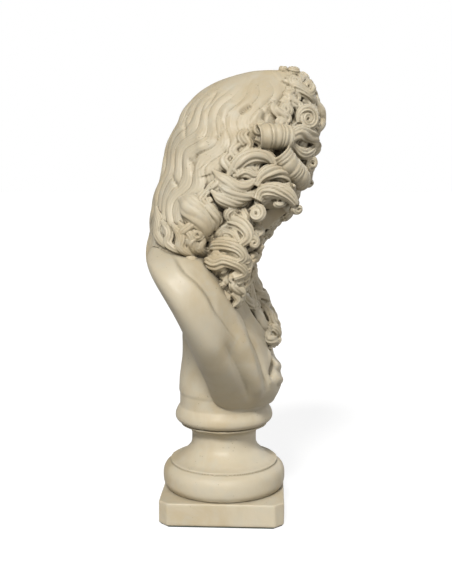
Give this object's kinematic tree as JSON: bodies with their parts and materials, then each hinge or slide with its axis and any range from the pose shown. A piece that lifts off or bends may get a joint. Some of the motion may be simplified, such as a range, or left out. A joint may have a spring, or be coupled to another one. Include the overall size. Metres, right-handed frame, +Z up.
{
  "type": "portrait bust on a turned socle",
  "caption": "Life-size draped portrait bust in a curled full-bottomed wig, on a turned socle and square plinth; the bust turns on its socle.",
  "frame": {"origin": "centre of the face that stands on the table, under the plinth, on the axis of the socle", "axes": "+Z up along the axis of the socle; -Y is the way the bust's chest faces; +X is the bust's own left"},
  "size_m": [0.4282, 0.2933, 0.766],
  "materials": {
    "felt": "matt",
    "mortar": "matt",
    "steel": "satin",
    "washer_brass": "satin",
    "lead": "matt",
    "plinth_stone": "matt",
    "socle_stone": "matt",
    "column_stone": "matt",
    "torso_stone": "matt",
    "head_stone": "matt",
    "hair_stone": "matt",
    "cravat_stone": "matt"
  },
  "bodies": {
    "base": {"base_felt": "felt", "plinth": "plinth_stone", "mortar_bed": "mortar", "socle_keys": "steel", "socle": "socle_stone", "turning_pin": "steel", "lower_nut": "steel", "lower_washer": "steel", "upper_nut": "steel", "upper_washer": "steel", "turning_washer": "washer_brass"},
    "bust": {"turning_bush": "washer_brass", "lead_collar": "lead", "support_column": "column_stone", "torso_dowels": "steel", "draped_torso": "torso_stone", "head_dowel": "steel", "head": "head_stone", "wig": "hair_stone", "right_side_curls": "hair_stone", "left_side_curls": "hair_stone", "lace_cravat": "cravat_stone"}
  },
  "joints": [
    {"name": "bust_turn", "type": "hinge", "parent": "base", "child": "bust", "pos_m": [0, 0, 0.159], "axis": [0, 0, 1], "continuous": true}
  ]
}
